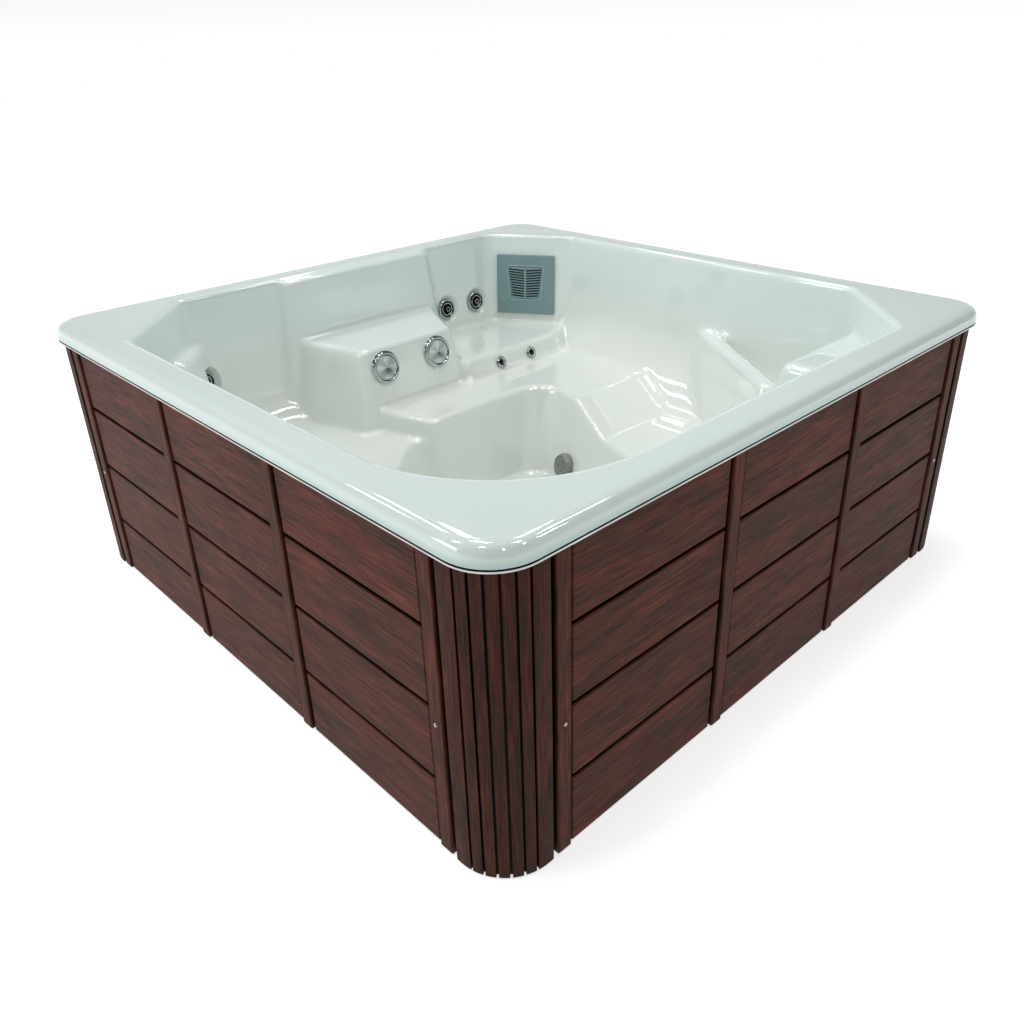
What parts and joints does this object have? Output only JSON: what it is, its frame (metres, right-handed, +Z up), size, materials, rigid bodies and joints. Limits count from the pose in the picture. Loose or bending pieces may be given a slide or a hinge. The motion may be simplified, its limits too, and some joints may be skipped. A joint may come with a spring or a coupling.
{
  "type": "hot tub",
  "caption": "Square free-standing hot tub: moulded acrylic shell with steps and seats, swivel jets, skimmer filter and boarded cabinet around a framed pump system",
  "frame": {"origin": "middle of the base on the ground", "axes": "+Z up, the near corner of the picture at +X and -Y, entry steps at -X, pump and drain at +Y"},
  "size_m": [2.1, 2.1, 0.835],
  "materials": {
    "acrylic": "high gloss",
    "trim": "satin",
    "cabinet": "satin wood grain",
    "screws": "satin",
    "base": "matte",
    "frame_timber": "planed",
    "foam": "matte",
    "jet_chrome": "polished",
    "brushed_disc": "radially brushed",
    "nozzle": "satin",
    "fitting": "gloss",
    "suction_grille": "matte",
    "filter_plate": "satin",
    "filter_paper": "pleated",
    "pump_casting": "matte",
    "motor": "satin",
    "gate": "satin",
    "pipe": "gloss",
    "heater": "brushed",
    "control_box": "matte",
    "black_plastic": "matte"
  },
  "bodies": {
    "tub": {"acrylic_shell": "acrylic", "rim_trim": "trim", "front_boards": "cabinet", "front_battens": "cabinet", "right_boards": "cabinet", "right_battens": "cabinet", "back_boards": "cabinet", "back_battens": "cabinet", "left_boards": "cabinet", "left_battens": "cabinet", "corner_panel_front_right": "cabinet", "corner_panel_back_right": "cabinet", "corner_panel_back_left": "cabinet", "corner_panel_front_left": "cabinet", "panel_screws": "screws", "base_pan": "base", "sill_rails": "frame_timber", "frame_posts": "frame_timber", "corner_posts": "frame_timber", "top_rails": "frame_timber", "shell_supports": "foam", "step_jet_bodies": "fitting", "back_jet_bodies": "fitting", "foot_jet_bodies": "fitting", "jet_nuts": "fitting", "suction_body": "fitting", "skimmer_housing": "fitting", "water_manifold": "fitting", "slice_valve_bodies": "fitting", "drain_pipe": "fitting", "suction_cover": "suction_grille", "pump_wet_end": "pump_casting", "pump_motor": "motor", "suction_pipe": "pipe", "pressure_pipes": "pipe", "jet_hoses": "pipe", "heater_tube": "heater", "control_box": "control_box", "cable_gland": "black_plastic", "drain_valve": "black_plastic"},
    "step_jet_left": {"step_jet_ring_left": "jet_chrome", "step_jet_disc_left": "brushed_disc"},
    "step_jet_right": {"step_jet_ring_right": "jet_chrome", "step_jet_disc_right": "brushed_disc"},
    "back_ring_left": {"back_jet_ring_left": "jet_chrome"},
    "back_nozzle_left": {"back_jet_nozzle_left": "nozzle"},
    "back_ring_right": {"back_jet_ring_right": "jet_chrome"},
    "back_nozzle_right": {"back_jet_nozzle_right": "nozzle"},
    "back_ring_seat": {"back_jet_ring_seat": "jet_chrome"},
    "back_nozzle_seat": {"back_jet_nozzle_seat": "nozzle"},
    "foot_jet_left": {"foot_jet_face_left": "jet_chrome"},
    "foot_jet_right": {"foot_jet_face_right": "jet_chrome"},
    "filter_plate": {"skimmer_faceplate": "filter_plate", "faceplate_screw": "screws"},
    "weir": {"weir_flap": "fitting"},
    "cartridge": {"filter_cartridge": "filter_paper"},
    "rotor": {"pump_rotor": "pump_casting"},
    "suction_gate": {"suction_gate": "gate"},
    "pressure_gate": {"pressure_gate": "gate"},
    "drain_cap": {"drain_cap": "black_plastic"}
  },
  "joints": [
    {"name": "step_jet_turn_left", "type": "hinge", "parent": "tub", "child": "step_jet_left", "pos_m": [-0.60827, -0.076, 0.527], "axis": [0.9781, 0, 0.2079], "range_deg": [0, 90]},
    {"name": "step_jet_turn_right", "type": "hinge", "parent": "tub", "child": "step_jet_right", "pos_m": [-0.60827, 0.166, 0.527], "axis": [0.9781, 0, 0.2079], "range_deg": [0, 90]},
    {"name": "back_ring_turn_left", "type": "hinge", "parent": "tub", "child": "back_ring_left", "pos_m": [-0.93888, 0.493, 0.56109], "axis": [0.9976, 0, 0.0698], "range_deg": [0, 90]},
    {"name": "back_nozzle_tilt_left", "type": "hinge", "parent": "back_ring_left", "child": "back_nozzle_left", "pos_m": [-0.94087, 0.493, 0.56095], "axis": [0, 1, 0], "range_deg": [-12, 12]},
    {"name": "back_ring_turn_right", "type": "hinge", "parent": "tub", "child": "back_ring_right", "pos_m": [-0.93888, 0.657, 0.56109], "axis": [0.9976, 0, 0.0698], "range_deg": [0, 90]},
    {"name": "back_nozzle_tilt_right", "type": "hinge", "parent": "back_ring_right", "child": "back_nozzle_right", "pos_m": [-0.94087, 0.657, 0.56095], "axis": [0, 1, 0], "range_deg": [-12, 12]},
    {"name": "back_ring_turn_seat", "type": "hinge", "parent": "tub", "child": "back_ring_seat", "pos_m": [-0.9372, -0.622, 0.53709], "axis": [0.9976, 0, 0.0698], "range_deg": [0, 90]},
    {"name": "back_nozzle_tilt_seat", "type": "hinge", "parent": "back_ring_seat", "child": "back_nozzle_seat", "pos_m": [-0.9392, -0.622, 0.53695], "axis": [0, 1, 0], "range_deg": [-12, 12]},
    {"name": "foot_jet_turn_left", "type": "hinge", "parent": "tub", "child": "foot_jet_left", "pos_m": [-0.55535, 0.451, 0.422], "axis": [0.9063, 0, 0.4226], "range_deg": [0, 90]},
    {"name": "foot_jet_turn_right", "type": "hinge", "parent": "tub", "child": "foot_jet_right", "pos_m": [-0.55535, 0.62, 0.422], "axis": [0.9063, 0, 0.4226], "range_deg": [0, 90]},
    {"name": "filter_plate_off", "type": "slide", "parent": "tub", "child": "filter_plate", "axis": [0.5191, -0.8519, 0.0698], "range_m": [0, 0.1]},
    {"name": "weir_swing", "type": "hinge", "parent": "tub", "child": "weir", "pos_m": [-0.79654, 0.83954, 0.62303], "axis": [-0.8539, -0.5204, 0], "range_deg": [0, 55]},
    {"name": "cartridge_lift", "type": "slide", "parent": "tub", "child": "cartridge", "axis": [-0.0363, 0.0596, 0.9976], "range_m": [0, 0.03]},
    {"name": "rotor_spin", "type": "hinge", "parent": "tub", "child": "rotor", "pos_m": [-0.04, 0.755, 0.15], "axis": [0, 1, 0], "continuous": true},
    {"name": "suction_gate_slide", "type": "slide", "parent": "tub", "child": "suction_gate", "axis": [0, 0, 1], "range_m": [-0.056, 0]},
    {"name": "pressure_gate_slide", "type": "slide", "parent": "tub", "child": "pressure_gate", "axis": [1, 0, 0], "range_m": [-0.056, 0]},
    {"name": "drain_cap_off", "type": "slide", "parent": "tub", "child": "drain_cap", "axis": [0, 1, 0], "range_m": [0, 0.03]}
  ]
}
